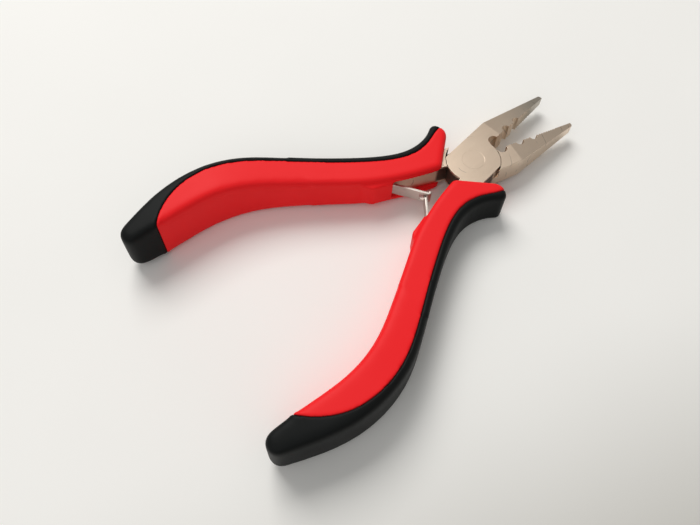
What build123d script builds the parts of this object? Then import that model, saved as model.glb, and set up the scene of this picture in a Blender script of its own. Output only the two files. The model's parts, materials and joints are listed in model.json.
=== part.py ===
from build123d import *

# Spring-opened mini crimping pliers: a lap joint, two sprung leaves, moulded two-colour grips.
#
# All sizes are in millimetres. +X runs from the pivot between the jaws, +Z through the joint's
# thickness, and the origin is where the pivot axis leaves the joint's back face. The pliers are
# drawn open, as the springs hold them. Both steel halves, both grips and both springs have one
# shape: it is drawn once, jaws closed, in a frame of its own, and each side's plane turns it
# open. In that frame the jaw lies on +Y, the handle on -Y and the half's own cheek on +Z.
from math import atan, cos, radians, sin
import os

# Opening
HALF_OPENING = 10.0  # degrees that each half turns between closed and open

# Joint
JOINT_THICKNESS = 7.0
DISC_RADIUS = 8.0  # round cheeks that overlap at the pivot
LAP_GAP = 0.05  # between the two cheeks
RECESS_GAP = 0.2  # round each cheek
SHOULDER_Y = 6.4  # outer edge of the joint, jaw side
HEEL_Y = 7.1  # outer edge of the joint, handle side

# Pivot rivet, pressed into the back half and running in the front one
RIVET_RADIUS = 2.5
RIVET_HEAD_RADIUS = 3.3
RIVET_HEAD_DEPTH = 0.8
RUNNING_GAP = 0.03

# Jaws
JAW_REACH = 35.3  # pivot to tip
JAW_CORNER_X = 12.8  # widest place, where the outer edge starts to taper
JAW_CORNER_Y = 6.5
JAW_CORNER_ROUND = 7.0
TIP_WIDTH = 1.2
TIP_THICKNESS = 2.9
TAPER_START_X = 13.0  # where the flat faces start to thin
JAW_FACE_GAP = 0.03  # each jaw face to the centre line, closed
NOTCH_RADII = (1.65, 1.35, 1.2)
NOTCH_LANDS = (3.4, 2.5)  # flats between the notches
TOOTH_PITCH = 0.85
TOOTH_DEPTH = 0.28
PLAIN_TIP = 5.6  # smooth length at the tip

# Grips
GRIP_THICKNESS = 16.0  # at the belly, the thickest place
GUARD_THICKNESS = 10.2
WAIST_THICKNESS = 11.8
ARCH_THICKNESS = 13.0  # between the waist and the belly
END_THICKNESS = 13.4
GRIP_EDGE_ROUND = 1.6
HANDLE_REACH = 101.4  # pivot to the grip's end
FORK_LENGTH = 14.8  # open slot for the tang and the spring
GRIP_FRONT_GAP = 2.6  # grip's inner front corner to the cheek disc
GRIP_WAIST = 22.2  # grip's front corner to its waist
GRIP_FRONT_Y = -0.8
GUARD_TIP = (8.9, -12.2)  # forward of the grip's front corner, and out
GUARD_CORNER = (5.2, -16.2)
GUARD_TIP_ROUND = 3.4
GUARD_CORNER_ROUND = 1.7
FRONT_ROUND = 2.0
END_INNER_Y = -14.8
END_OUTER_Y = -20.6
END_SLANT = 1.6  # how far the end's outer corner stands forward of the inner one
END_ROUND = 3.2
BOSS_HEIGHT = 8.4  # rounded boss that covers the spring's foot
BOSS_COVER = 1.1

# Cover moulded over the outside and the end of each grip
COVER_DEPTH = 2.3

# Tang inside the grip
TANG_REACH = 72.0
TANG_WALL_IN = 2.0
TANG_WALL_OUT = 0.9
TANG_FACE_Y = -1.785  # the straight inner face, beside the grip's front corner
TANG_FACE_SLOPE = 0.165
MOULD_GAP = 0.04

# Leaf springs
LEAF_THICKNESS = 0.7
LEAF_WIDTH = 4.2
LEAF_REST_ANGLE = 44.5  # blade to the closed centre line, pliers open
ROOT_OFFSET = 0.6  # root bend forward of the slot's closed end
FOOT_LENGTH = 4.6
FOOT_GAP = 0.02  # under the foot
KNUCKLE_GAP = 0.06  # between foot and blade
LEAF_REACH = 9.6  # root bend to where the two leaves cross
SLOT_WIDTH = 2.5
SLOT_BEFORE = 1.3  # slot, from the crossing back
SLOT_PAST = 1.1  # slot, from the crossing on
SLOT_END_BAR = 0.6
TONGUE_WIDTH = 1.8
TONGUE_START = 1.3  # tongue, from the crossing back
TONGUE_PAST = 1.1
FOOT_RIVET_RADIUS = 0.8
FOOT_RIVET_HEAD_RADIUS = 1.4
FOOT_RIVET_HEAD = 0.5
FOOT_RIVET_DEPTH = 2.4
POCKET_GAP = 0.1

HALF_THICKNESS = JOINT_THICKNESS / 2
RECESS_RADIUS = DISC_RADIUS + RECESS_GAP
GRIP_FRONT_X = -(DISC_RADIUS + GRIP_FRONT_GAP)
FORK_END_X = GRIP_FRONT_X - FORK_LENGTH
WAIST_X = GRIP_FRONT_X - GRIP_WAIST
FACE_END_X = FORK_END_X - FOOT_LENGTH
ROOT_X = FORK_END_X + ROOT_OFFSET
CLEAR = 100.0  # more than any cut needs


def side_plane(front):
    """The frame of one side at mid-thickness; the back side is the front one turned over."""
    turn = radians(HALF_OPENING)
    y_share = sin(turn) if front else -sin(turn)
    z_share = 1 if front else -1
    return Plane((0, 0, HALF_THICKNESS), x_dir=(cos(turn), y_share, 0), z_dir=(0, 0, z_share))


def along(share):
    """A place behind the fork, from 0 at the grip's waist to 1 at its end."""
    return WAIST_X - share * (HANDLE_REACH + WAIST_X)


def tang_face(x):
    """The straight inner face of the tang, which carries the spring's foot."""
    return TANG_FACE_Y - TANG_FACE_SLOPE * (GRIP_FRONT_X - x)


# The handle's edges at stations behind the fork: place, inner edge, outer edge.
STATIONS = [
    (along(0.00), -5.3, -15.6),
    (along(0.13), -9.2, -19.8),
    (along(0.26), -13.1, -24.3),
    (along(0.42), -17.4, -28.9),
    (along(0.57), -19.0, -30.2),
    (along(0.72), -17.9, -28.7),
    (along(0.86), -16.0, -24.8),
]
FORK_OUTER = [(GRIP_FRONT_X + 1.2, -12.6), (GRIP_FRONT_X - 5.6, -10.7), (GRIP_FRONT_X - 13.2, -12.0)]
TANG_STATIONS = [station for station in STATIONS if station[0] > -TANG_REACH]


def grip_outline():
    """The outline of one whole grip, its cover included."""
    front_corner = (GRIP_FRONT_X, GRIP_FRONT_Y)
    guard_tip = (GRIP_FRONT_X + GUARD_TIP[0], GUARD_TIP[1])
    guard_corner = (GRIP_FRONT_X + GUARD_CORNER[0], GUARD_CORNER[1])
    outer = [(x, y) for x, _, y in STATIONS]
    inner = [(x, y) for x, y, _ in STATIONS]
    end_outer = (END_SLANT - HANDLE_REACH, END_OUTER_Y)
    end_inner = (-HANDLE_REACH, END_INNER_Y)
    waist = (FORK_END_X, (GRIP_FRONT_Y + inner[0][1]) / 2)
    with BuildSketch() as outline:
        with BuildLine():
            Spline(guard_corner, *FORK_OUTER, *outer, end_outer)
            Line(end_outer, end_inner)
            Spline(end_inner, *inner[::-1], waist, front_corner)
            Line(front_corner, guard_tip)
            Line(guard_tip, guard_corner)
        make_face()
        fillet(outline.vertices().sort_by(Axis.X)[:2], END_ROUND)
        fillet(outline.vertices().sort_by(Axis.X)[-2], GUARD_CORNER_ROUND)
        fillet(outline.vertices().sort_by(Axis.X)[-1], GUARD_TIP_ROUND)
        fillet(outline.vertices().sort_by(Axis.Y)[-1], FRONT_ROUND)
    return outline.sketch


def cover_region():
    """Everything outside the seam between the grip and its cover."""
    front = [
        (GRIP_FRONT_X + GUARD_TIP[0] + 1.5, GUARD_TIP[1] - 1.4),
        (GRIP_FRONT_X + GUARD_CORNER[0] + 0.6, GUARD_CORNER[1] + 3.1),
    ]
    fork = [(x, y + COVER_DEPTH) for x, y in FORK_OUTER]
    handle = [(x, y + COVER_DEPTH) for x, _, y in STATIONS[:5]]
    sweep = [(along(0.71), -25.4), (along(0.785), -21.6), (along(0.84), -16.4), (along(0.85), -12.0)]
    seam = [*front, *fork, *handle, *sweep]
    with BuildSketch() as region:
        with BuildLine():
            Spline(*seam)
            Polyline(seam[-1], (-CLEAR * 2, -12.0), (-CLEAR * 2, -CLEAR), (seam[0][0], -CLEAR), seam[0])
        make_face()
    return region.sketch


def tang_outline(gap=0.0):
    """The tang from the joint to its end, grown by a gap where it draws the tang's pocket."""
    start_x = -DISC_RADIUS / 2
    face_start = (start_x, tang_face(start_x) + gap)
    face_end = (FACE_END_X, tang_face(FACE_END_X) + gap)
    outer_wall = COVER_DEPTH + TANG_WALL_OUT - gap
    inner = [(x, y - TANG_WALL_IN + gap) for x, y, _ in TANG_STATIONS]
    outer = [(x, y + outer_wall) for x, _, y in TANG_STATIONS]
    fork = [(x, y + outer_wall) for x, y in FORK_OUTER[1:]]
    heel = (start_x, -HEEL_Y - gap)
    end_inner = (inner[-1][0] - gap, inner[-1][1])
    end_outer = (outer[-1][0] - gap, outer[-1][1])
    with BuildSketch() as tang:
        with BuildLine():
            Line(face_start, face_end)
            Spline(face_end, *inner[:-1], end_inner)
            Line(end_inner, end_outer)
            Spline(end_outer, *outer[-2::-1], *fork[::-1], heel)
            Line(heel, face_start)
        make_face()
    return tang.sketch


def half_outline():
    """The jaw and the joint, with the cheek disc between its two flats."""
    shoulder_x = -DISC_RADIUS * 0.55
    jaw_start = (shoulder_x, JAW_FACE_GAP)
    with BuildSketch() as outline:
        with BuildLine():
            tip_inner = (JAW_REACH, JAW_FACE_GAP)
            tip_outer = (JAW_REACH, TIP_WIDTH)
            corner = (JAW_CORNER_X, JAW_CORNER_Y)
            shoulder = (shoulder_x, SHOULDER_Y)
            Polyline(jaw_start, tip_inner, tip_outer, corner, shoulder, close=True)
        make_face()
        fillet(outline.vertices().sort_by(Axis.Y)[-1], JAW_CORNER_ROUND)
        fillet(outline.vertices().group_by(Axis.X)[-1].sort_by(Axis.Y)[-1], TIP_WIDTH * 0.6)
        add(cheek_outline())
    return outline.sketch


def cheek_outline():
    """The round cheek, cut flat along the joint's two outer edges."""
    with BuildSketch() as cheek:
        Circle(DISC_RADIUS)
        with Locations((0, (SHOULDER_Y - HEEL_Y) / 2)):
            Rectangle(2 * DISC_RADIUS, SHOULDER_Y + HEEL_Y, mode=Mode.INTERSECT)
    return cheek.sketch


def notch_centres():
    """Distances of the crimping notches from the pivot, the first one beside the recess."""
    centres = [RECESS_RADIUS + NOTCH_RADII[0]]
    for land, before, after in zip(NOTCH_LANDS, NOTCH_RADII, NOTCH_RADII[1:]):
        centres.append(centres[-1] + before + land + after)
    return centres


def tooth_places():
    """Middles of the grooves on the lands and on the flat before the plain tip."""
    spans = []
    centres = notch_centres()
    for index, land in enumerate(NOTCH_LANDS):
        start = centres[index] + NOTCH_RADII[index]
        spans.append((start, start + land))
    spans.append((centres[-1] + NOTCH_RADII[-1], JAW_REACH - PLAIN_TIP))
    places = []
    for start, end in spans:
        count = int((end - start) / TOOTH_PITCH)
        first = (start + end - (count - 1) * TOOTH_PITCH) / 2
        places += [first + index * TOOTH_PITCH for index in range(count)]
    return places


def crimp_profile():
    """Notches and teeth, as seen along the pivot axis."""
    with BuildSketch() as profile:
        for centre, radius in zip(notch_centres(), NOTCH_RADII):
            with Locations((centre, 0)):
                Circle(radius)
        with Locations([(place, JAW_FACE_GAP) for place in tooth_places()]):
            Rectangle(TOOTH_DEPTH * 1.414, TOOTH_DEPTH * 1.414, rotation=45)
    return profile.sketch


def side_view(plane):
    """The plane that looks at one side along its own +Y."""
    return Plane(plane.origin, x_dir=plane.x_dir, z_dir=-plane.y_dir)


def foot_frame(plane):
    """A frame on the tang's inner face at the root bend: x back along it, y out of the steel."""
    slope = atan(TANG_FACE_SLOPE)
    back = -plane.x_dir * cos(slope) - plane.y_dir * sin(slope)
    start = plane.from_local_coords(Vector(ROOT_X, tang_face(ROOT_X), 0))
    return Plane(start, x_dir=back, z_dir=-plane.z_dir)


def blade_frame(plane):
    """A frame at the root bend's axis: x along the blade, z across its width."""
    axis = foot_frame(plane).from_local_coords(Vector(0, FOOT_GAP + LEAF_THICKNESS / 2, 0))
    turn = radians(LEAF_REST_ANGLE)
    return Plane(axis, x_dir=plane.x_dir * cos(turn) + plane.y_dir * sin(turn), z_dir=plane.z_dir)


def steel_half(front, rivet_gap):
    """One half: jaw, cheek and tang in one forging, with the recess for the other cheek."""
    plane = side_plane(front)
    edge = side_view(plane)
    taper_rise = (JOINT_THICKNESS - TIP_THICKNESS) / 2
    taper_end = (JAW_REACH, HALF_THICKNESS - taper_rise)
    foot = foot_frame(plane)
    with BuildPart() as half:
        with BuildSketch(plane.offset(-HALF_THICKNESS)):
            add(half_outline())
            add(tang_outline())
        extrude(amount=JOINT_THICKNESS)
        with BuildSketch(plane.offset(LAP_GAP / 2)):
            Circle(RECESS_RADIUS)
        extrude(amount=-JOINT_THICKNESS, mode=Mode.SUBTRACT)
        with BuildSketch(edge) as taper:
            with BuildLine():
                Polyline(
                    (TAPER_START_X, HALF_THICKNESS),
                    taper_end,
                    (JAW_REACH + 1, taper_end[1]),
                    (JAW_REACH + 1, JOINT_THICKNESS),
                    (TAPER_START_X, JOINT_THICKNESS),
                    close=True,
                )
            make_face()
            mirror(about=Plane.XZ)
        extrude(amount=CLEAR, both=True, mode=Mode.SUBTRACT)
        with BuildSketch(plane):
            add(crimp_profile())
        extrude(amount=JOINT_THICKNESS, both=True, mode=Mode.SUBTRACT)
        with BuildSketch(edge):
            add(rivet_profile(rivet_gap))
        revolve(axis=Axis(plane.origin, plane.z_dir), mode=Mode.SUBTRACT)
        with BuildSketch(foot_rivet_plane(foot)):
            Circle(FOOT_RIVET_RADIUS)
        extrude(amount=-FOOT_RIVET_DEPTH, mode=Mode.SUBTRACT)
    return half


def foot_rivet_plane(foot):
    """The plane on the tang's face where the foot's rivet goes in."""
    middle = foot.from_local_coords(Vector(FOOT_LENGTH * 0.55, 0, 0))
    return Plane(middle, x_dir=foot.x_dir, z_dir=foot.y_dir)


def rivet_profile(gap=0.0):
    """Half of the pivot rivet's section, grown by a running gap."""
    shank = RIVET_RADIUS + gap
    head = RIVET_HEAD_RADIUS + gap
    neck_z = HALF_THICKNESS - RIVET_HEAD_DEPTH
    with BuildSketch() as profile:
        with BuildLine():
            Polyline(
                (0, -HALF_THICKNESS),
                (head, -HALF_THICKNESS),
                (shank, -neck_z),
                (shank, neck_z),
                (head, HALF_THICKNESS),
                (0, HALF_THICKNESS),
                close=True,
            )
        make_face()
    return profile.sketch


def above_grip():
    """Everything above a grip seen from its side: thin at the guard, thickest at the belly."""
    crest = [
        (DISC_RADIUS, GUARD_THICKNESS / 2),
        (GRIP_FRONT_X, WAIST_THICKNESS / 2),
        (WAIST_X, WAIST_THICKNESS / 2),
        (along(0.28), ARCH_THICKNESS / 2),
        (along(0.57), GRIP_THICKNESS / 2),
        (along(0.80), GRIP_THICKNESS / 2),
        (-HANDLE_REACH, END_THICKNESS / 2),
    ]
    with BuildSketch() as above:
        with BuildLine():
            Spline(*crest)
            Polyline(crest[-1], (-HANDLE_REACH - 1, 0), (-CLEAR * 2, CLEAR), (DISC_RADIUS, CLEAR), crest[0])
        make_face()
    return above.sketch


def whole_grip(plane):
    """The grip and its cover as one moulding, before the seam parts them."""
    boss_top = LEAF_THICKNESS + BOSS_COVER
    boss_end_x = FACE_END_X - 1.6
    with BuildPart() as body:
        with BuildSketch(plane.offset(-GRIP_THICKNESS / 2)):
            add(grip_outline())
        extrude(amount=GRIP_THICKNESS)
        with BuildSketch(side_view(plane)):
            add(above_grip())
            mirror(about=Plane.XZ)
        extrude(amount=CLEAR, both=True, mode=Mode.SUBTRACT)
        crowns = body.faces().sort_by(Axis.Z)
        fillet(crowns[0].edges() + crowns[-1].edges(), GRIP_EDGE_ROUND)
        with BuildSketch(plane.offset(-BOSS_HEIGHT / 2)):
            with BuildLine():
                Polyline(
                    (FORK_END_X, tang_face(FORK_END_X) - boss_top),
                    (FORK_END_X, tang_face(FORK_END_X) + boss_top),
                    (boss_end_x, tang_face(boss_end_x) + boss_top),
                    (WAIST_X - 3.5, STATIONS[0][1] - 2.5),
                    close=True,
                )
            make_face()
        extrude(amount=BOSS_HEIGHT)
    return body.part


def grip_cavity(plane):
    """The room inside a grip: the tang's pocket, the open fork and the spring's seat."""
    foot = foot_frame(plane)
    rivet = foot_rivet_plane(foot)
    fork_height = JOINT_THICKNESS + 2 * MOULD_GAP
    pocket_width = LEAF_WIDTH + 2 * POCKET_GAP
    with BuildPart() as cavity:
        with BuildSketch(plane.offset(-fork_height / 2)):
            add(tang_outline(MOULD_GAP))
            with BuildLine():
                Polyline(
                    (FORK_END_X, tang_face(FORK_END_X) - 1),
                    (FORK_END_X, CLEAR),
                    (CLEAR, CLEAR),
                    (CLEAR, tang_face(0) - 1),
                    close=True,
                )
            make_face()
        extrude(amount=fork_height)
        with BuildSketch(foot.offset(-pocket_width / 2)):
            with Locations((0, 0)):
                Rectangle(
                    FOOT_LENGTH + POCKET_GAP,
                    FOOT_GAP + LEAF_THICKNESS + POCKET_GAP,
                    align=(Align.MIN, Align.MIN),
                )
        extrude(amount=pocket_width)
        with BuildSketch(rivet):
            Circle(FOOT_RIVET_HEAD_RADIUS + POCKET_GAP)
        extrude(amount=FOOT_GAP + LEAF_THICKNESS + FOOT_RIVET_HEAD + POCKET_GAP)
    return cavity.part


def grip_and_cover(front):
    """The two mouldings of one handle, face to face along the seam."""
    plane = side_plane(front)
    body = whole_grip(plane)
    cavity = grip_cavity(plane)
    with BuildPart() as grip:
        add(body)
        with BuildSketch(plane.offset(-GRIP_THICKNESS)):
            add(cover_region())
        extrude(amount=2 * GRIP_THICKNESS, mode=Mode.SUBTRACT)
        add(cavity, mode=Mode.SUBTRACT)
    with BuildPart() as cover:
        add(body)
        with BuildSketch(plane.offset(-GRIP_THICKNESS)):
            add(cover_region())
        extrude(amount=2 * GRIP_THICKNESS, mode=Mode.INTERSECT)
    return grip, cover


def pivot_rivet():
    """The rivet through both cheeks, with both heads flush."""
    plane = side_plane(False)
    with BuildPart() as rivet:
        with BuildSketch(side_view(plane)):
            add(rivet_profile())
        revolve(axis=Axis(plane.origin, plane.z_dir))
    return rivet


def leaf_foot(front):
    """The riveted foot of a leaf spring, flat on the tang, hollowed round the root bend."""
    foot = foot_frame(side_plane(front))
    rivet = foot_rivet_plane(foot)
    with BuildPart() as part:
        with BuildSketch(foot.offset(-LEAF_WIDTH / 2)):
            with Locations((0, FOOT_GAP)):
                Rectangle(FOOT_LENGTH, LEAF_THICKNESS, align=(Align.MIN, Align.MIN))
            with Locations((0, FOOT_GAP + LEAF_THICKNESS / 2)):
                Circle(LEAF_THICKNESS / 2 + KNUCKLE_GAP, mode=Mode.SUBTRACT)
        extrude(amount=LEAF_WIDTH)
        with BuildSketch(rivet):
            Circle(FOOT_RIVET_RADIUS)
        extrude(amount=FOOT_GAP + LEAF_THICKNESS, mode=Mode.SUBTRACT)
    return part


def foot_rivet(front):
    """The small rivet that holds a leaf's foot: shank in the tang, domed head on the foot."""
    rivet = foot_rivet_plane(foot_frame(side_plane(front)))
    head_base = FOOT_GAP + LEAF_THICKNESS
    with BuildPart() as part:
        with BuildSketch(rivet.offset(-FOOT_RIVET_DEPTH)):
            Circle(FOOT_RIVET_RADIUS)
        extrude(amount=FOOT_RIVET_DEPTH + head_base)
        with BuildSketch(rivet.offset(head_base)):
            Circle(FOOT_RIVET_HEAD_RADIUS)
        extrude(amount=FOOT_RIVET_HEAD, taper=35)
    return part


def blade(front):
    """A leaf's blank, from the rounded root to the narrowest place that both leaves share."""
    plane = blade_frame(side_plane(front))
    with BuildSketch() as side:
        Circle(LEAF_THICKNESS / 2)
        with Locations((0, -LEAF_THICKNESS / 2)):
            Rectangle(LEAF_REACH + SLOT_PAST + SLOT_END_BAR, LEAF_THICKNESS, align=(Align.MIN, Align.MIN))
    with BuildPart() as part:
        with BuildSketch(plane.offset(-LEAF_WIDTH / 2)):
            add(side.sketch)
        extrude(amount=LEAF_WIDTH)
    return part.part, plane


def slotted_leaf():
    """The back half's leaf, with the slot that takes the other leaf's tongue."""
    blank, plane = blade(False)
    with BuildPart() as leaf:
        add(blank)
        with BuildSketch(plane.offset(-SLOT_WIDTH / 2)):
            with Locations((LEAF_REACH - SLOT_BEFORE, 0)):
                Rectangle(SLOT_BEFORE + SLOT_PAST, 2 * LEAF_THICKNESS, align=(Align.MIN, Align.CENTER))
        extrude(amount=SLOT_WIDTH, mode=Mode.SUBTRACT)
    return leaf


def tongued_leaf():
    """The front half's leaf, with the tongue that rides in the other leaf's slot."""
    blank, plane = blade(True)
    with BuildPart() as leaf:
        add(blank)
        with BuildSketch(plane.offset(-LEAF_WIDTH)):
            with Locations((LEAF_REACH - TONGUE_START, 0)):
                Rectangle(CLEAR, 2 * LEAF_THICKNESS, align=(Align.MIN, Align.CENTER))
        extrude(amount=2 * LEAF_WIDTH, mode=Mode.SUBTRACT)
        with BuildSketch(plane.offset(-TONGUE_WIDTH / 2)):
            with Locations((LEAF_REACH - 2 * TONGUE_START, 0)):
                Rectangle(2 * TONGUE_START + TONGUE_PAST, LEAF_THICKNESS, align=(Align.MIN, Align.CENTER))
        extrude(amount=TONGUE_WIDTH)
    return leaf


def save(piece, name):
    """Label a finished piece and write it."""
    piece.part.label = name
    export_step(piece.part, f"parts/{name}.step")


os.makedirs("parts", exist_ok=True)
save(steel_half(True, RUNNING_GAP), "front_half")
save(steel_half(False, 0.0), "back_half")
save(pivot_rivet(), "pivot_rivet")
save(tongued_leaf(), "front_leaf_blade")
save(slotted_leaf(), "back_leaf_blade")
for side, front in (("front", True), ("back", False)):
    grip, cover = grip_and_cover(front)
    save(grip, f"{side}_grip")
    save(cover, f"{side}_grip_cover")
    save(leaf_foot(front), f"{side}_leaf_foot")
    save(foot_rivet(front), f"{side}_leaf_rivet")
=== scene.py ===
# %% [markdown]
# # Mini crimping pliers
# The pliers come packed as a CAD frame: two forged halves on a lap joint, a flush rivet, two leaf
# springs with their rivets, and two moulded grips with covers. Everything that moves is settled
# there. This lesson gives each piece its real surface, and it takes every place from the frame.

# %% Load the frame
import json
import math

import bmesh
import bpy
from mathutils import Matrix, Vector
from mathutils.bvhtree import BVHTree


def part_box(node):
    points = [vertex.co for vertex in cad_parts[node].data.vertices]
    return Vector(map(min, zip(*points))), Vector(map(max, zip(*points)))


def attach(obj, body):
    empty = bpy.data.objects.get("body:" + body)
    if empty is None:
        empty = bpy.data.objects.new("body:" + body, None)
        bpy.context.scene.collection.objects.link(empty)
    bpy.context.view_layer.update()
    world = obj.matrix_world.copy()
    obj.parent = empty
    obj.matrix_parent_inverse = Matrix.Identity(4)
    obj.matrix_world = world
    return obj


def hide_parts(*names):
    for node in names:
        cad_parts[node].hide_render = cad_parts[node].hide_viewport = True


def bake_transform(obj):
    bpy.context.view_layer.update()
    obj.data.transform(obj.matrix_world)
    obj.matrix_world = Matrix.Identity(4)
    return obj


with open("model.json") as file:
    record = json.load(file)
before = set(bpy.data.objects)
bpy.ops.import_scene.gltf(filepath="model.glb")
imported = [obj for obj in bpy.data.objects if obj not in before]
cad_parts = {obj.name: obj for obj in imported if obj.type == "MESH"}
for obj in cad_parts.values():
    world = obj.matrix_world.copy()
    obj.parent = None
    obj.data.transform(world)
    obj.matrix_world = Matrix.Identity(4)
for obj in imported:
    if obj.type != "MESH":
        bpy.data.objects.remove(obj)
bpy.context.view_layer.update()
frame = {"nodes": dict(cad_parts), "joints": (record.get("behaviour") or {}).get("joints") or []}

MM = 0.001
joints = {joint["name"]: joint for joint in frame["joints"]}
HALF_OPENING = math.radians(joints["pivot"]["range_deg"][1] / 2)
MID_Z = (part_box("pivot_rivet")[0].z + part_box("pivot_rivet")[1].z) / 2

# %% [markdown]
# ## Shader maths as plain expressions
# A node tree is hard to read as code. One small class holds an output socket, so that
# `0.3 + 0.1 * cloud` adds the Math nodes by itself, and one method adds every other node.


# %% A socket that can be calculated with
class Wire:
    """An output socket of one finish, used like a number."""

    def __init__(self, finish, socket):
        self.finish = finish
        self.socket = socket

    def maths(self, operation, first, second=0.0):
        return self.finish.node("ShaderNodeMath", {"operation": operation}, {0: first, 1: second})

    def __add__(self, other):
        return self.maths("ADD", self, other)

    def __sub__(self, other):
        return self.maths("SUBTRACT", self, other)

    def __rsub__(self, other):
        return self.maths("SUBTRACT", other, self)

    def __mul__(self, other):
        return self.maths("MULTIPLY", self, other)

    def above(self, low, high):
        """0 below the low value, 1 above the high one, and a soft step between them."""
        settings = {"interpolation_type": "SMOOTHSTEP"}
        return self.finish.node("ShaderNodeMapRange", settings, {"Value": self, 1: low, 2: high})

    __radd__ = __add__
    __rmul__ = __mul__


class Finish:
    """One material and short ways to add nodes to it."""

    def __init__(self, name, **constants):
        self.material = bpy.data.materials.new(name)
        self.material.use_nodes = True
        self.tree = self.material.node_tree
        self.shader = self.tree.nodes["Principled BSDF"]
        for socket, value in constants.items():
            self.shader.inputs[socket.replace("_", " ")].default_value = value

    def node(self, kind, settings, sockets, output=0):
        """A node with its settings made first, then its sockets' values or links."""
        made = self.tree.nodes.new(kind)
        for key, value in settings.items():
            setattr(made, key, value)
        for key, value in sockets.items():
            if isinstance(value, Wire):
                self.tree.links.new(value.socket, made.inputs[key])
            else:
                made.inputs[key].default_value = value
        return Wire(self, made.outputs[output])

    def place(self, centre=(0, 0, 0), turn=0.0, stretch=(1, 1, 1)):
        """Object coordinates, moved, turned about Z and stretched for a pattern."""
        where = self.node("ShaderNodeTexCoord", {}, {}, "Object")
        sockets = {"Vector": where, "Location": centre, "Rotation": (0, 0, turn), "Scale": stretch}
        return self.node("ShaderNodeMapping", {"vector_type": "POINT"}, sockets)

    def noise(self, size, detail=2.0, place=None):
        """Noise whose lumps are about one size across, in metres."""
        sockets = {"Vector": place or self.place(), "Scale": 1 / size, "Detail": detail}
        return self.node("ShaderNodeTexNoise", {}, sockets)

    def blend(self, factor, first, second):
        """One colour turning into another."""
        return self.node("ShaderNodeMix", {"data_type": "RGBA"}, {0: factor, 6: first, 7: second}, 2)

    def feed(self, socket, wire):
        self.tree.links.new(wire.socket, self.shader.inputs[socket])

    def relief(self, height, depth, strength):
        """A bump of a real depth in metres."""
        bump = self.node("ShaderNodeBump", {}, {"Height": height, "Distance": depth, "Strength": strength})
        self.feed("Normal", bump)


# %% [markdown]
# ## Finishes
# The steel is forged, ground and nickel plated: a warm, slightly cloudy satin with hairline
# scratches, some of them arcs about the rivet where the joint rubbed in its tray, and greyer
# towards the tips. Its warmth is partly the nickel's own and partly a painted warm reflection.
# Deep inside the joint it is dark with grime and painted shade. The springs are plain rolled
# strip. Both plastics are moulded: a clean red and a satin black, each with the faint
# orange-peel that the mould leaves.


# %% Nickel plate
TIP_GREY_FROM = 14 * MM
TIP_GREY_TO = 36 * MM
RECESS_DEPTH = 2.5 * MM  # half of what lies deep inside the joint
FACE_DEPTH = 3.2 * MM  # half of what lies under the cheeks' faces
RECESS_FROM = -10.0 * MM
RECESS_TO = 2.5 * MM


def nickel_finish(name, plate_and_reflection, grey, grime_and_shade):
    """Satin nickel with clouding, hairlines, rubbed arcs, greyer tips and a recess darkened by grime and
    painted shade.
    """
    finish = Finish(name, Metallic=1.0)
    where = finish.place()
    along, across, high = [finish.node("ShaderNodeSeparateXYZ", {}, {0: where}, axis) for axis in "XYZ"]
    cloud = finish.noise(9 * MM, 3.0)
    far_jaw = across.above(-1.5 * MM, 1.5 * MM)
    # Greyer towards the tips, much more on the far jaw.
    tip_greying = along.above(TIP_GREY_FROM, TIP_GREY_TO) * (0.55 + 0.5 * cloud) * (0.15 + 0.85 * far_jaw)
    off_middle = high - MID_Z
    cheek_face = (off_middle * off_middle).above(RECESS_DEPTH ** 2, FACE_DEPTH ** 2)
    behind = along.above(RECESS_FROM - MM, RECESS_FROM) * (1.0 - along.above(RECESS_TO - MM, RECESS_TO))
    # Painted shade with grime: the steel deep inside the joint, off the cheeks' faces, is darkened in its
    # colour.
    grime_and_painted_shade = behind * (1.0 - cheek_face)
    wobble = finish.place(centre=(0.4 * MM, -0.3 * MM, 0))
    rings = {"wave_type": "RINGS", "rings_direction": "Z"}
    ring_sockets = {"Vector": wobble, "Scale": 95.0, "Distortion": 5.0, "Detail": 2.0, "Detail Scale": 1.4}
    arcs = finish.node("ShaderNodeTexWave", rings, ring_sockets).above(0.965, 1.0)
    arcs = arcs * finish.noise(5 * MM, 1.0).above(0.53, 0.62)
    hairs = finish.noise(1.6 * MM, 2.0, finish.place(turn=0.5, stretch=(1, 26, 1))).above(0.66, 0.74)
    hairs = hairs * finish.noise(4 * MM, 1.0).above(0.5, 0.62)
    marks = 0.4 * arcs + 0.25 * hairs
    # The plate colour holds a painted warm reflection as well as the nickel's own tone.
    ground = finish.blend(0.35 * cloud + tip_greying, plate_and_reflection, grey)
    marked = finish.blend(marks, ground, (0.16, 0.13, 0.11, 1))
    # Deep inside the joint the colour turns dark: grime and painted shade.
    finish.feed("Base Color", finish.blend(0.9 * grime_and_painted_shade, marked, grime_and_shade))
    brushed = finish.noise(0.5 * MM, 2.0, finish.place(turn=0.12, stretch=(0.08, 1, 1)))
    dull = 0.15 * marks + 0.06 * tip_greying + 0.25 * grime_and_painted_shade
    finish.feed("Roughness", 0.24 + 0.10 * cloud + 0.08 * brushed + dull)
    finish.relief(brushed - 0.8 * marks, 0.012 * MM, 0.5)
    return finish.material


# Nickel's own warm tone, with a painted warm reflection mixed into it.
NICKEL_AND_WARM_REFLECTION = (0.86, 0.685, 0.53, 1)
NICKEL_GREY = (0.40, 0.365, 0.31, 1)
# Dark colour deep inside the joint: grime and painted shade.
RECESS_GRIME_AND_SHADE = (0.045, 0.033, 0.026, 1)
nickel = nickel_finish("nickel_plate", NICKEL_AND_WARM_REFLECTION, NICKEL_GREY, RECESS_GRIME_AND_SHADE)


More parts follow.
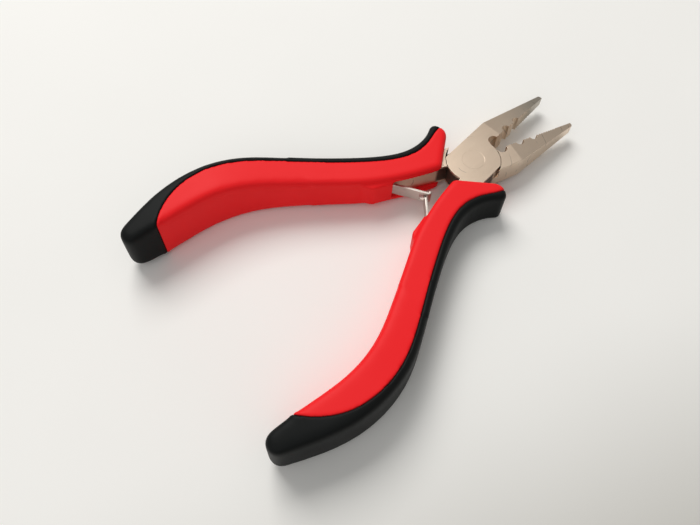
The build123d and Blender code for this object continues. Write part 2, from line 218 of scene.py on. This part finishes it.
# %% Spring strip and rivet steel
def strip_finish(name, colour, shade, roughness):
    """Rolled steel: fine lines one way and a little dull staining."""
    finish = Finish(name, Metallic=1.0)
    stain = finish.noise(3 * MM, 3.0).above(0.45, 0.75)
    lines = finish.noise(0.3 * MM, 2.0, finish.place(turn=0.95, stretch=(0.06, 1, 1)))
    finish.feed("Base Color", finish.blend(0.6 * stain, colour, shade))
    finish.feed("Roughness", roughness + 0.12 * lines + 0.10 * stain)
    finish.relief(lines, 0.01 * MM, 0.5)
    return finish.material


spring_steel = strip_finish("spring_strip", (0.60, 0.55, 0.50, 1), (0.34, 0.29, 0.26, 1), 0.26)
rivet_steel = strip_finish("rivet_steel", (0.50, 0.46, 0.42, 1), (0.22, 0.19, 0.17, 1), 0.30)


# %% Moulded plastics
def moulded_finish(name, colour, shade, roughness, sheen):
    """Moulded plastic: faint flow clouds, mould grain and a few rub marks."""
    finish = Finish(name, Specular_IOR_Level=sheen)
    flow = finish.noise(14 * MM, 2.0)
    grain = finish.noise(0.35 * MM, 2.0)
    rubs = finish.noise(2.2 * MM, 2.0, finish.place(turn=0.9, stretch=(1, 14, 1))).above(0.68, 0.76)
    rubs = rubs * finish.noise(9 * MM, 1.0).above(0.52, 0.60)
    finish.feed("Base Color", finish.blend(0.6 * flow + 0.2 * grain + 0.15 * rubs, colour, shade))
    finish.feed("Roughness", roughness + 0.10 * flow + 0.06 * grain + 0.08 * rubs)
    finish.relief(grain, 0.02 * MM, 0.35)
    return finish.material


red = moulded_finish("red_plastic", (0.93, 0.014, 0.018, 1), (0.84, 0.010, 0.014, 1), 0.42, 0.16)
black = moulded_finish("black_plastic", (0.008, 0.009, 0.009, 1), (0.005, 0.006, 0.006, 1), 0.42, 0.1)

# %% [markdown]
# ## Floor, light and camera
# A pale sheet of card is the whole set. The pliers rest on the bellies of both grips and on
# their guards, which are thinner, so the tool's own middle plane slopes a little against the
# table and the card is laid to match. One broad window stands behind the far handle, near
# the place that the flat cheeks mirror, and the card falls into shade towards the viewer.

# %% Stage
BELLY_X = -72 * MM
CARD_GAP = 0.05 * MM
BELLY = Vector((BELLY_X, 0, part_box("front_grip_cover")[0].z - CARD_GAP))
TABLE_SLOPE = math.radians(2.0)
SHADE_FROM = -50 * MM  # the card falls into shade towards the viewer
SHADE_TO = -170 * MM


def card(name, size, place, slope, material):
    """A square sheet of card, marked as stage."""
    bm = bmesh.new()
    bmesh.ops.create_grid(bm, x_segments=1, y_segments=1, size=size / 2)
    bmesh.ops.rotate(bm, verts=bm.verts, cent=(0, 0, 0), matrix=Matrix.Rotation(-slope, 3, "Y"))
    bmesh.ops.translate(bm, verts=bm.verts, vec=place)
    mesh = bpy.data.meshes.new(name)
    bm.to_mesh(mesh)
    bm.free()
    sheet = bpy.data.objects.new(name, mesh)
    bpy.context.scene.collection.objects.link(sheet)
    mesh.materials.append(material)
    return sheet


paper = Finish("paper", Specular_IOR_Level=0.2, Roughness=0.6)
sheet_x, sheet_y = [paper.node("ShaderNodeSeparateXYZ", {}, {0: paper.place()}, axis) for axis in "XY"]
lit_share = (sheet_y + 0.3 * sheet_x).above(SHADE_TO, SHADE_FROM)
lit = paper.blend(paper.noise(60 * MM), (0.90, 0.893, 0.868, 1), (0.94, 0.933, 0.908, 1))
paper.feed("Base Color", paper.blend(lit_share, (0.38, 0.365, 0.325, 1), lit))
card("table", 4.0, BELLY, TABLE_SLOPE, paper.material)


# %% Light
def area_light(name, place, target, size, watts, colour):
    """A square soft light that faces its target."""
    lamp = bpy.data.lights.new(name, "AREA")
    lamp.size = size
    lamp.energy = watts
    lamp.color = colour
    light = bpy.data.objects.new(name, lamp)
    light.location = place
    light.rotation_euler = (Vector(target) - Vector(place)).to_track_quat("-Z", "Y").to_euler()
    bpy.context.scene.collection.objects.link(light)
    return light


MIDDLE = (-0.03, 0.0, 0.0)
area_light("window", (0.10, 0.80, 1.05), MIDDLE, 0.75, 12.0, (1.0, 0.985, 0.96))
area_light("fill", (-0.9, -0.3, 0.9), MIDDLE, 1.2, 3.0, (0.95, 0.98, 1.0))

world = bpy.data.worlds.new("studio")
world.use_nodes = True
bpy.context.scene.world = world
background = world.node_tree.nodes["Background"]
background.inputs["Color"].default_value = (0.80, 0.79, 0.77, 1)
background.inputs["Strength"].default_value = 0.42

# %% Camera
# The pliers are seen from the handles' side, 61 degrees above them and a little rolled.
VIEW_HEIGHT = math.radians(61.01)
VIEW_TURN = math.radians(-38.99)
VIEW_ROLL = math.radians(2.26)
CAMERA_PLACE = Vector((-106.9, -76.6, 170.8)) * MM

level_share = math.cos(VIEW_HEIGHT)
back = Vector((math.sin(VIEW_TURN) * level_share, -math.cos(VIEW_TURN) * level_share, math.sin(VIEW_HEIGHT)))
level = Vector((math.cos(VIEW_TURN), math.sin(VIEW_TURN), 0))
upright = back.cross(level)
right = math.cos(VIEW_ROLL) * level + math.sin(VIEW_ROLL) * upright
top = math.cos(VIEW_ROLL) * upright - math.sin(VIEW_ROLL) * level
camera_data = bpy.data.cameras.new("camera")
camera_data.lens = 36.0
camera_data.sensor_width = 36.0
camera_data.clip_start = 0.01
camera = bpy.data.objects.new("camera", camera_data)
camera.matrix_world = Matrix.Translation(CAMERA_PLACE) @ Matrix((right, top, back)).transposed().to_4x4()
bpy.context.scene.collection.objects.link(camera)
bpy.context.scene.camera = camera
bpy.context.scene.view_settings.view_transform = "Standard"

# %% [markdown]
# ## Pieces from the CAD solids
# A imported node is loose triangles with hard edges, which real edges never are. Each piece
# below starts from a merged copy of its node, so it sits exactly where the node does.

# %% Merged copies
WELD = 0.001 * MM


def merged(node_name):
    """A node's mesh with its loose triangles joined, as a bmesh."""
    bm = bmesh.new()
    bm.from_mesh(frame["nodes"][node_name].data)
    bmesh.ops.remove_doubles(bm, verts=bm.verts, dist=WELD)
    return bm


def piece_from(bm, name, material, smooth=True):
    """A finished object at the origin, made from a bmesh."""
    for face in bm.faces:
        face.smooth = smooth
    mesh = bpy.data.meshes.new(name)
    bm.to_mesh(mesh)
    bm.free()
    mesh.materials.append(material)
    piece = bpy.data.objects.new(name, mesh)
    bpy.context.scene.collection.objects.link(piece)
    return piece


# %% [markdown]
# ## Forged halves
# Each half is one forging: a tapered jaw, a round cheek and a tang that goes into the grip.
# Grinding and plating leave every edge with a tiny round that catches the light. The flat
# faces are dissolved into single faces first, so that the Bevel modifier rounds true edges.

# %% Halves with rounded edges
EDGE_ROUND = 0.16 * MM
EDGE_CORNER = math.radians(28)
ONE_FACE = math.radians(0.6)  # triangles nearer than this to one plane are one face


def forging(side):
    """One steel half with its edges broken."""
    bm = merged(f"{side}_half")
    bmesh.ops.dissolve_limit(
        bm, angle_limit=ONE_FACE, use_dissolve_boundaries=False, verts=bm.verts, edges=bm.edges
    )
    half = piece_from(bm, f"{side}_forging", nickel)
    rounding = half.modifiers.new("edges", "BEVEL")
    rounding.width = EDGE_ROUND
    rounding.segments = 2
    rounding.limit_method = "ANGLE"
    rounding.angle_limit = EDGE_CORNER
    half.modifiers.new("flats", "WEIGHTED_NORMAL").keep_sharp = True
    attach(half, f"{side}_side")
    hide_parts(f"{side}_half")
    print(half.name, len(half.data.polygons), "faces")
    return half


for side in ("front", "back"):
    forging(side)

# %% [markdown]
# ## Moulded grips and covers
# The grip is a hard red moulding and its cover a softer black one over the outside and the
# end. Both come out of the mould with generous soft edges. Voxel remeshing turns the copy into
# one even skin, and smoothing then rounds its edges, more so on the belly and the end than
# along the seam. The two skins draw back a little from each other, which leaves the fine
# shadow line that a real seam shows.

# %% Grips
VOXEL = 0.38 * MM
SOFTENING = 5
SEAM_KEPT = 0.8 * MM  # skin this near to the other moulding stays sharp
BELLY_FROM = -44 * MM  # behind this the grip's edges are rounder
BELLY_SOFTENING = 36


def remeshed(bm, name):
    """The bmesh as one even skin, softened."""
    rough = piece_from(bm, name + "_rough", red)
    skin = rough.modifiers.new("skin", "REMESH")
    skin.mode = "VOXEL"
    skin.voxel_size = VOXEL
    soft = rough.modifiers.new("soft", "SMOOTH")
    soft.factor = 0.5
    soft.iterations = SOFTENING
    evaluated = rough.evaluated_get(bpy.context.evaluated_depsgraph_get())
    result = bmesh.new()
    result.from_mesh(evaluated.to_mesh())
    evaluated.to_mesh_clear()
    bpy.data.objects.remove(rough)
    return result


def rounded_belly(bm, neighbour):
    """The belly and the end smoothed further, except along the seam."""
    other = merged(neighbour)
    seam = BVHTree.FromBMesh(other)
    other.free()
    free_skin = [
        vert for vert in bm.verts
        if vert.co.x < BELLY_FROM and seam.find_nearest(vert.co)[3] > SEAM_KEPT
    ]
    for _ in range(BELLY_SOFTENING):
        bmesh.ops.smooth_vert(
            bm, verts=free_skin, factor=0.5, use_axis_x=True, use_axis_y=True, use_axis_z=True
        )


def moulding(node_name, neighbour, material):
    """One moulding in place of its CAD node."""
    bm = remeshed(merged(node_name), node_name)
    rounded_belly(bm, neighbour)
    piece = piece_from(bm, f"{node_name}_moulding", material)
    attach(piece, node_name.split("_")[0] + "_side")
    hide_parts(node_name)
    print(piece.name, len(piece.data.polygons), "faces")
    return piece


for side in ("front", "back"):
    moulding(f"{side}_grip", f"{side}_grip_cover", red)
    moulding(f"{side}_grip_cover", f"{side}_grip", black)

# %% [markdown]
# ## Leaf springs
# Each spring is one bent strip. Its foot is riveted to the tang inside the grip, and its blade
# leans across to the other blade, where a tongue on one runs in a slot in the other. In the CAD
# a hinge at the bend stands in for the strip's flexing. Here the strip is whole again: it is
# drawn by extruding one edge along its path, and the bend is blended between the two bodies.

# %% Springs
LEAF_THICKNESS = 0.7 * MM
LEAF_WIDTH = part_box("front_leaf_foot")[1].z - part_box("front_leaf_foot")[0].z
BEND_RADIUS = 0.9 * MM
BEND_STEPS = 6
BLADE_ANGLE = math.radians(44.5)  # blade to the closed centre line, pliers open
FOOT_SLOPE = 0.165  # the tang's inner face, which the foot lies on
FOOT_ANGLE = math.atan(FOOT_SLOPE)
FOOT_LENGTH = 4.6 * MM
CROSSING = 9.6 * MM
SLOT_WIDTH = 2.5 * MM
TONGUE_WIDTH = 1.8 * MM
SLOT_BEFORE = 1.3 * MM  # slot and tongue, from the crossing back
SLOT_PAST = 1.1 * MM  # slot, from the crossing on
CURL_RADIUS = 0.42 * MM
CURL_STEPS = 6
CURL_STEP = math.radians(28)
STRIP_EDGE = 0.07 * MM
STRIP_CORNER = math.radians(50)
FRONT_BLADE = 10.9 * MM
BACK_BLADE = 10.8 * MM


def leaf(side, blade_length, slotted):
    """One whole leaf spring."""
    mirror = 1 if side == "front" else -1
    root = Vector(joints[f"{side}_leaf_bend"]["pos_m"])
    root.z = MID_Z
    heading = BLADE_ANGLE + HALF_OPENING
    blade_way = Vector((math.cos(heading), mirror * math.sin(heading), 0))
    foot_heading = math.pi + FOOT_ANGLE + HALF_OPENING
    foot_way = Vector((math.cos(foot_heading), mirror * math.sin(foot_heading), 0))
    middle_share = (SLOT_WIDTH if slotted else TONGUE_WIDTH) / LEAF_WIDTH / 2
    columns = [-0.5, -middle_share, middle_share, 0.5]
    bm = bmesh.new()
    place = root + foot_way * FOOT_LENGTH
    first = [bm.verts.new(place + Vector((0, 0, share * LEAF_WIDTH))) for share in columns]
    row = [bm.edges.new(pair) for pair in zip(first, first[1:])]
    stops = [foot_way * BEND_RADIUS]
    for index in range(1, BEND_STEPS):
        share = index / BEND_STEPS
        near = foot_way * BEND_RADIUS * (1 - share) ** 2
        stops.append(near + blade_way * BEND_RADIUS * share ** 2)
    stops.append(blade_way * BEND_RADIUS)
    marks = [CROSSING - SLOT_BEFORE, CROSSING + SLOT_PAST, blade_length]
    stops += [blade_way * (BEND_RADIUS + (marks[0] - BEND_RADIUS) * share) for share in (0.25, 0.5, 0.75)]
    stops += [blade_way * mark for mark in marks]
    if slotted:
        out = blade_way.cross(Vector((0, 0, mirror)))
        for index in range(1, CURL_STEPS + 1):
            angle = index * CURL_STEP
            reach = CURL_RADIUS * math.sin(angle)
            lift = CURL_RADIUS * (1 - math.cos(angle))
            stops.append(blade_way * (blade_length + reach) + out * lift)
    for stop in stops:
        grown = bmesh.ops.extrude_edge_only(bm, edges=row)["geom"]
        moved = [item for item in grown if isinstance(item, bmesh.types.BMVert)]
        bmesh.ops.translate(bm, verts=moved, vec=root + stop - place)
        place = root + stop
        row = [item for item in grown if isinstance(item, bmesh.types.BMEdge)]
        row = [edge for edge in row if abs(edge.verts[0].co.z - edge.verts[1].co.z) > WELD]
    gone = []
    for face in bm.faces:
        middle = face.calc_center_median() - root
        reach = middle.dot(blade_way)
        centre = abs(middle.z) < 0.2 * LEAF_WIDTH
        if slotted and centre and marks[0] < reach < marks[1]:
            gone.append(face)
        if not slotted and not centre and reach > marks[0]:
            gone.append(face)
    bmesh.ops.delete(bm, geom=gone, context="FACES")
    bmesh.ops.recalc_face_normals(bm, faces=bm.faces)
    strip = piece_from(bm, f"{side}_leaf_spring", spring_steel)
    wall = strip.modifiers.new("strip", "SOLIDIFY")
    wall.thickness = LEAF_THICKNESS
    wall.offset = 0
    rounding = strip.modifiers.new("edges", "BEVEL")
    rounding.width = STRIP_EDGE
    rounding.segments = 2
    rounding.limit_method = "ANGLE"
    rounding.angle_limit = STRIP_CORNER
    strip.modifiers.new("flats", "WEIGHTED_NORMAL").keep_sharp = True
    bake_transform(strip)
    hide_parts(f"{side}_leaf_foot", f"{side}_leaf_blade")
    return strip


leaf("front", FRONT_BLADE, False)
leaf("back", BACK_BLADE, True)

# %% [markdown]
# ## Rivets
# The pivot rivet is ground flush with both cheeks, and the springs' rivets are small plain
# heads inside the grips. Their CAD shapes are right as they are and only need their steel.

# %% Rivets
rivets = {"pivot_rivet": nickel, "front_leaf_rivet": rivet_steel, "back_leaf_rivet": rivet_steel}
for name, material in rivets.items():
    mesh = frame["nodes"][name].data
    mesh.materials.clear()
    mesh.materials.append(material)
